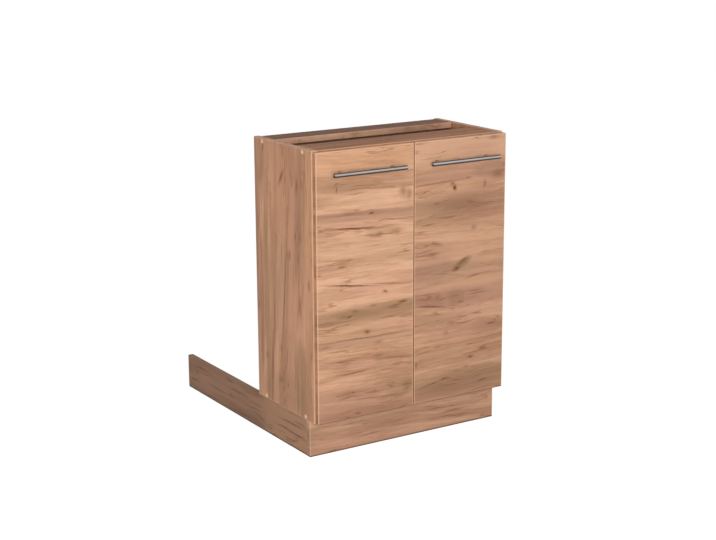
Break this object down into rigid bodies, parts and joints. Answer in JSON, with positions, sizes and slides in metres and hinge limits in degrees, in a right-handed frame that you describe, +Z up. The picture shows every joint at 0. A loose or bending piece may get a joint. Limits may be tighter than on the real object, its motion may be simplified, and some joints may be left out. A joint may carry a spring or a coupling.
{
  "type": "kitchen island base unit",
  "caption": "Two-door oak-look base cabinet for a kitchen island, with an open top for a worktop, bar handles, a plinth and adjustable legs.",
  "frame": {"origin": "on the floor, in the middle of the width and of the whole depth from the handles to the side plinth's rear end", "axes": "+Z up, +Y from the doors to the back, +X along the width to the right as seen from the front"},
  "size_m": [0.6016, 0.795, 0.82],
  "materials": {
    "oak": "matt wood-grain laminate",
    "back_board": "thin laminated board",
    "beech": "plain dowel wood",
    "zinc": "bright zinc plating",
    "nickel": "nickel-plated pressed steel",
    "pin_steel": "plain steel",
    "cap_beige": "matt beige",
    "clip_white": "matt white",
    "leg_black": "matt black",
    "handle_steel": "satin",
    "bumper": "clear soft"
  },
  "bodies": {
    "carcass": {"side_panel_left": "oak", "side_panel_right": "oak", "bottom_panel": "oak", "top_rail_front": "oak", "top_rail_rear": "oak", "shelf": "oak", "front_plinth": "oak", "side_plinth": "oak", "back_panel": "back_board", "dowels": "beech", "shelf_pins": "zinc", "carcass_screws": "zinc", "hinge_plate_screws": "zinc", "plinth_corner_bracket": "zinc", "plinth_screws": "zinc", "leg_screws": "zinc", "hinge_plates": "nickel", "hinge_arms": "nickel", "hinge_arm_pins": "pin_steel", "screw_caps": "cap_beige", "plinth_clips": "clip_white", "leg_flanges": "leg_black", "leg_tubes": "leg_black"},
    "door_left": {"door_left": "oak", "hinge_cups_left": "nickel", "hinge_cup_pins_left": "pin_steel", "cup_screws_left": "zinc", "handle_bar_left": "handle_steel", "handle_posts_left": "handle_steel", "handle_screws_left": "zinc", "door_bumpers_left": "bumper"},
    "long_link_left": {"long_links_left": "nickel"},
    "short_link_left": {"short_links_left": "nickel"},
    "door_right": {"door_right": "oak", "hinge_cups_right": "nickel", "hinge_cup_pins_right": "pin_steel", "cup_screws_right": "zinc", "handle_bar_right": "handle_steel", "handle_posts_right": "handle_steel", "handle_screws_right": "zinc", "door_bumpers_right": "bumper"},
    "long_link_right": {"long_links_right": "nickel"},
    "short_link_right": {"short_links_right": "nickel"},
    "foot_front_left": {"foot_front_left": "leg_black"},
    "foot_front_right": {"foot_front_right": "leg_black"},
    "foot_rear_left": {"foot_rear_left": "leg_black"},
    "foot_rear_right": {"foot_rear_right": "leg_black"}
  },
  "joints": [
    {"name": "door_left_turn", "type": "hinge", "parent": "long_link_left", "child": "door_left", "pos_m": [-0.28985, -0.354, 0.4595], "axis": [0, 0, -1], "range_deg": [0, 114.7]},
    {"name": "long_link_left_turn", "type": "hinge", "parent": "carcass", "child": "long_link_left", "pos_m": [-0.267, -0.3248, 0.4595], "axis": [0, 0, 1], "range_deg": [0, 19.7]},
    {"name": "short_link_left_turn", "type": "hinge", "parent": "carcass", "child": "short_link_left", "pos_m": [-0.2706, -0.3555, 0.4595], "axis": [0, 0, 1], "range_deg": [0, 32]},
    {"name": "door_right_turn", "type": "hinge", "parent": "long_link_right", "child": "door_right", "pos_m": [0.28985, -0.354, 0.4595], "axis": [0, 0, 1], "range_deg": [0, 114.7]},
    {"name": "long_link_right_turn", "type": "hinge", "parent": "carcass", "child": "long_link_right", "pos_m": [0.267, -0.3248, 0.4595], "axis": [0, 0, -1], "range_deg": [0, 19.7]},
    {"name": "short_link_right_turn", "type": "hinge", "parent": "carcass", "child": "short_link_right", "pos_m": [0.2706, -0.3555, 0.4595], "axis": [0, 0, -1], "range_deg": [0, 32]},
    {"name": "foot_front_left_screw", "type": "slide", "parent": "carcass", "child": "foot_front_left", "axis": [0, 0, -1], "range_m": [-0.005, 0.02]},
    {"name": "foot_front_right_screw", "type": "slide", "parent": "carcass", "child": "foot_front_right", "axis": [0, 0, -1], "range_m": [-0.005, 0.02]},
    {"name": "foot_rear_left_screw", "type": "slide", "parent": "carcass", "child": "foot_rear_left", "axis": [0, 0, -1], "range_m": [-0.005, 0.02]},
    {"name": "foot_rear_right_screw", "type": "slide", "parent": "carcass", "child": "foot_rear_right", "axis": [0, 0, -1], "range_m": [-0.005, 0.02]}
  ],
  "couplings": [
    {"joint": "long_link_left_turn", "follows": "door_left_turn", "ratio": 0.17175},
    {"joint": "short_link_left_turn", "follows": "door_left_turn", "ratio": 0.27898},
    {"joint": "long_link_right_turn", "follows": "door_right_turn", "ratio": 0.17175},
    {"joint": "short_link_right_turn", "follows": "door_right_turn", "ratio": 0.27898}
  ]
}
